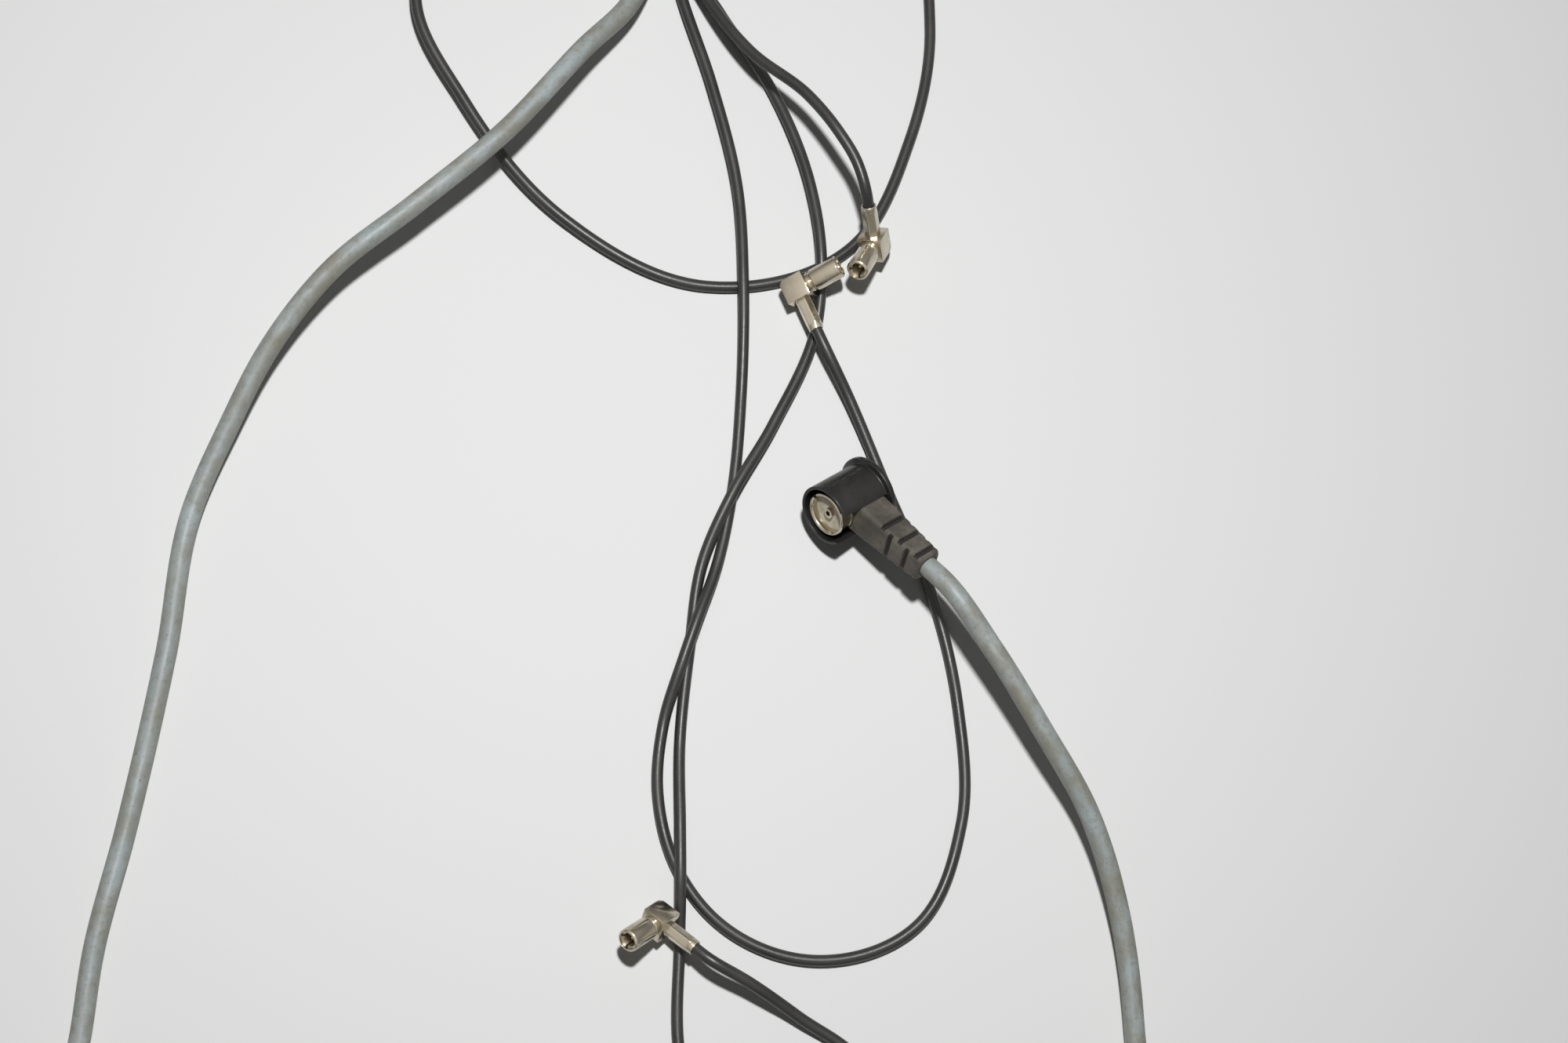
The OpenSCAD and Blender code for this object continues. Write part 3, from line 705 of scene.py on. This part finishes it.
for plug in MOULDED_PLUGS:
    stations = [-4.5, -4.47, -4.35, -4.15, -3.85, -3.45, -2.8, -1.5, 0, 1.5, 3, 4.5, 7, 9, 11]
    stations += [11.5 + 0.13 * i for i in range(112)]
    rings = []
    depths = []
    for x in stations:
        h = body_half(x)
        r = min(CORNER_R, h - 0.5)
        ring = []
        for quarter in range(4):
            for k in range(10):
                a = math.pi / 2 * (quarter + k / 9)
                y = math.copysign(h - r, math.cos(math.pi / 2 * (quarter + 0.5))) + r * math.cos(a)
                z = math.copysign(h - r, math.sin(math.pi / 2 * (quarter + 0.5))) + r * math.sin(a)
                y_limit = h - groove_depth(x, 1)
                z_limit = h - groove_depth(x, 0)
                ring.append(Vector((x, min(y_limit, max(-y_limit, y)), min(z_limit, max(-z_limit, z)))))
                depths.append(max(abs(y) - abs(ring[-1].y), abs(z) - abs(ring[-1].z)) / GROOVE_DEPTH)
        rings.append(ring)
    for x, r in ((BODY_LENGTH, 2.9), (25.9, 2.62), (24.6, 2.56)):
        rings.append([Vector((x, 0, 0)) + Vector((0, p.y, p.z)).normalized() * r for p in rings[-1]])
    bm = skinned(rings)
    # The groove depths are stored on the points, for the painted shade in the grooves.
    grooved = bm.verts.layers.float.new("groove")
    bm.verts.ensure_lookup_table()
    for vert, depth in zip(bm.verts, depths):
        vert[grooved] = depth
    add_plug_piece(plug, "_moulding", bm, dusty_rubber, "_body", 40)

# Barrels of the moulded plugs
# Each is drawn from thin plated brass, with a rolled bead round its rim and one slot across it.
# It stands in the moulding on a narrower tail.
BARREL = [
    (2.6, 2.1), (3, 2.1), (3, 4.5), (5.1, 4.5), (5.1, 5.5), (5.02, 5.6), (5.02, 5.75), (5.1, 5.85),
    (5.1, 8.15), (5.3, 8.38), (5.5, 8.6), (5.55, 8.85), (5.46, 9.12), (5.26, 9.28), (5, 9.26),
    (4.75, 9.05), (4.6, 8.7), (4.6, 5), (2.6, 5),
]
SLOT_ANGLE = math.radians(150)
for plug in MOULDED_PLUGS:
    slot_box = box_mesh((0, 7.3, -0.6), (10.2, 9.5, 0.6))
    slot_box.transform(Matrix.Rotation(SLOT_ANGLE, 4, "Y"))
    bm = without(turned(eased(BARREL, 0.1), 96), slot_box)
    add_plug_piece(plug, "_rim", bm, nickel, "_barrel")

# Discs and middle contacts of the moulded plugs
# A cream insulating disc sits deep in each barrel round a hollow plated contact.
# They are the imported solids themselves, with finishes of their own.
cream_disc, shader = new_finish("cream_disc", "#c9c3b2", 0.5)
place = add_node(cream_disc, "ShaderNodeTexCoord").outputs
age = spots(cream_disc, place["Object"], 320, 0.4, 0.7, detail=6)
tone = mixed(cream_disc, age, "#cfc9b8", "#aaa18a")
set_surface(cream_disc, shader, tone, age, 0.4, 0.65, age, 0.00003)
for plug in MOULDED_PLUGS:
    for piece, finish in (("disc", cream_disc), ("contact", nickel)):
        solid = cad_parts[plug + "_" + piece]
        solid.material_slots[0].material = finish
        plug_pieces[plug].append(solid)

# Shrouds of the moulded plugs
# Each is a hard black cup round the barrel, with a wider flange at its back.
# One side of it is open, where the moulding comes out.
hard_black, shader = new_finish("hard_black", "#2b2b2c", 0.4)
place = add_node(hard_black, "ShaderNodeTexCoord").outputs
film = spots(hard_black, place["Object"], 210, 0.42, 0.7, detail=6)
nicks = spots(hard_black, place["Object"], 2400, 0.7, 0.76, detail=3)
tone = mixed(hard_black, faded(hard_black, film, 0.5), "#1b1b1b", "#2f2d2a")
tone = mixed(hard_black, faded(hard_black, nicks, 0.35), tone, "#6b6962")
set_surface(hard_black, shader, tone, film, 0.27, 0.48, nicks, 0.00002)
SHROUD = [(0, -6), (8.8, -6), (8.8, -4.7), (7.5, -4.4), (7.5, 9.8), (6.7, 9.8), (6.7, -4.5), (0, -4.5)]
for plug in MOULDED_PLUGS:
    opening = box_mesh((0, -4.5, -4.55), (9.5, 10.1, 4.55))
    bm = without(turned(eased(SHROUD, 0.3, steps=4), 96), opening)
    add_plug_piece(plug, "_cup", bm, hard_black, "_shroud")

# The cable tie
# A black nylon band pulled tight round the leads and through its own locking head.
# Its cut tail, which has fine teeth across it, stands out of the head.
tie_nylon, shader = new_finish("tie_nylon", "#29292a", 0.45)
place = add_node(tie_nylon, "ShaderNodeTexCoord").outputs
film = spots(tie_nylon, place["Object"], 300, 0.4, 0.7)
tone = mixed(tie_nylon, film, "#242425", "#363635")
set_surface(tie_nylon, shader, tone, film, 0.38, 0.58, film, 0.00002)

teeth = bpy.data.node_groups.new("teeth_along_the_tail", "GeometryNodeTree")
teeth.is_modifier = True
teeth.interface.new_socket("Tooth", in_out="INPUT", socket_type="NodeSocketGeometry")
tooth_count = teeth.interface.new_socket("Teeth", in_out="INPUT", socket_type="NodeSocketInt")
tooth_step = teeth.interface.new_socket("Step", in_out="INPUT", socket_type="NodeSocketVector")
tooth_finish = teeth.interface.new_socket("Finish", in_out="INPUT", socket_type="NodeSocketMaterial")
teeth.interface.new_socket("Row", in_out="OUTPUT", socket_type="NodeSocketGeometry")
given = teeth.nodes.new("NodeGroupInput")
result = teeth.nodes.new("NodeGroupOutput")
seats = teeth.nodes.new("GeometryNodeMeshLine")
copies = teeth.nodes.new("GeometryNodeInstanceOnPoints")
solid = teeth.nodes.new("GeometryNodeRealizeInstances")
painted = teeth.nodes.new("GeometryNodeSetMaterial")
for start, end in (
    (given.outputs["Teeth"], seats.inputs["Count"]),
    (given.outputs["Step"], seats.inputs["Offset"]),
    (seats.outputs["Mesh"], copies.inputs["Points"]),
    (given.outputs["Tooth"], copies.inputs["Instance"]),
    (copies.outputs["Instances"], solid.inputs["Geometry"]),
    (solid.outputs["Geometry"], painted.inputs["Geometry"]),
    (given.outputs["Finish"], painted.inputs["Material"]),
    (painted.outputs["Geometry"], result.inputs["Row"]),
):
    teeth.links.new(start, end)

TIE_SLACK = 0.08
BAND_HALF = 1.8
TOOTH_HALF = 1.3
TIE_MIDDLE = Vector((11.5, 3.6))
round_leads = []
for x, z, r in IN_THE_TIE.values():
    for k in range(64):
        a = 2 * math.pi * k / 64
        round_leads.append(Vector((x + (r + TIE_SLACK) * math.cos(a), z + (r + TIE_SLACK) * math.sin(a))))
loop = [round_leads[i] for i in convex_hull_2d(round_leads)]
band_section = eased([(0, -BAND_HALF), (0, BAND_HALF), (1, BAND_HALF), (1, -BAND_HALF)], 0.2)
rings = []
for i, point in enumerate(loop):
    along = (loop[(i + 1) % len(loop)] - loop[i - 1]).normalized()
    out = Vector((along.y, -along.x))
    if out.dot(point - TIE_MIDDLE) < 0:
        out = -out
    ring = []
    for lift, y in band_section:
        edge = point + out * lift
        ring.append((edge.x, TIE_Y + y, edge.y))
    rings.append(ring)
bm = skinned(rings, closed=True)
tooth = skinned([
    [(1.95, y, 8.02), (2.35, y, 8.02), (2.35, y, 8.17)] for y in (TIE_Y - TOOTH_HALF, TIE_Y + TOOTH_HALF)
])
row = grown(tooth, teeth, [(tooth_count, 9), (tooth_step, (0.42, 0, 0)), (tooth_finish, tie_nylon)])
head = without(
    box_mesh((5.8, TIE_Y - BAND_HALF, 6.18), (10.8, TIE_Y + BAND_HALF, 9.78), 0.45),
    box_mesh((10.1, TIE_Y - TOOTH_HALF, 7.2), (11, TIE_Y + TOOTH_HALF, 8.5)),
)
tail = box_mesh((1.8, TIE_Y - 1.75, 7.18), (5.9, TIE_Y + 1.75, 8.06), 0.12)
for part in (row, head, tail):
    take_in(bm, part)
bm.transform(Matrix.Scale(MM, 4))
tie = add_piece("tie_band", bm, tie_nylon, "cable_tie")

# The table and the light
# A plain pale table top, with one lamp above it, close to the camera on its far side.
# A weak sky fills its shadows, and what the metal mirrors of it is a pale ceiling over darker walls.
table_top, shader = new_finish("table_top", "#e6e7e6", 0.6)
mesh = bpy.data.meshes.new("table_top")
mesh.from_pydata([(-3, -3, 0), (3, -3, 0), (3, 3, 0), (-3, 3, 0)], [], [(0, 1, 2, 3)])
mesh.materials.append(table_top)
table = bpy.data.objects.new("table_top", mesh)
bpy.context.scene.collection.objects.link(table)
spot = Vector((-0.008, 0.06, 0.745))
lamp = bpy.data.lights.new("lamp", "AREA")
lamp.shape = "DISK"
lamp.size = 0.05
lamp.energy = 5
shade = bpy.data.objects.new("lamp", lamp)
shade.location = spot
shade.rotation_euler = (spot - look_at).to_track_quat("Z", "Y").to_euler()
bpy.context.scene.collection.objects.link(shade)
sky = bpy.data.worlds.new("sky")
sky.use_nodes = True
fill = sky.node_tree.nodes["Background"]
fill.inputs["Color"].default_value = (0.97, 0.98, 1, 1)
fill.inputs["Strength"].default_value = 0.042
room = sky.node_tree.nodes.new("ShaderNodeBackground")
room.inputs["Color"].default_value = (1, 0.97, 0.92, 1)
way = sky.node_tree.nodes.new("ShaderNodeTexCoord")
parts = sky.node_tree.nodes.new("ShaderNodeSeparateXYZ")
rise = sky.node_tree.nodes.new("ShaderNodeMapRange")
rise.inputs["From Min"].default_value = 0.1
rise.inputs["From Max"].default_value = 0.75
rise.inputs["To Min"].default_value = 0.24
rise.inputs["To Max"].default_value = 0.8
ray = sky.node_tree.nodes.new("ShaderNodeLightPath")
either = sky.node_tree.nodes.new("ShaderNodeMixShader")
for start, end in (
    (way.outputs["Generated"], parts.inputs["Vector"]),
    (parts.outputs["Z"], rise.inputs["Value"]),
    (rise.outputs["Result"], room.inputs["Strength"]),
    (ray.outputs["Is Glossy Ray"], either.inputs[0]),
    (fill.outputs["Background"], either.inputs[1]),
    (room.outputs["Background"], either.inputs[2]),
    (either.outputs["Shader"], sky.node_tree.nodes["World Output"].inputs["Surface"]),
):
    sky.node_tree.links.new(start, end)
bpy.context.scene.world = sky
bpy.context.scene.view_settings.view_transform = "Standard"
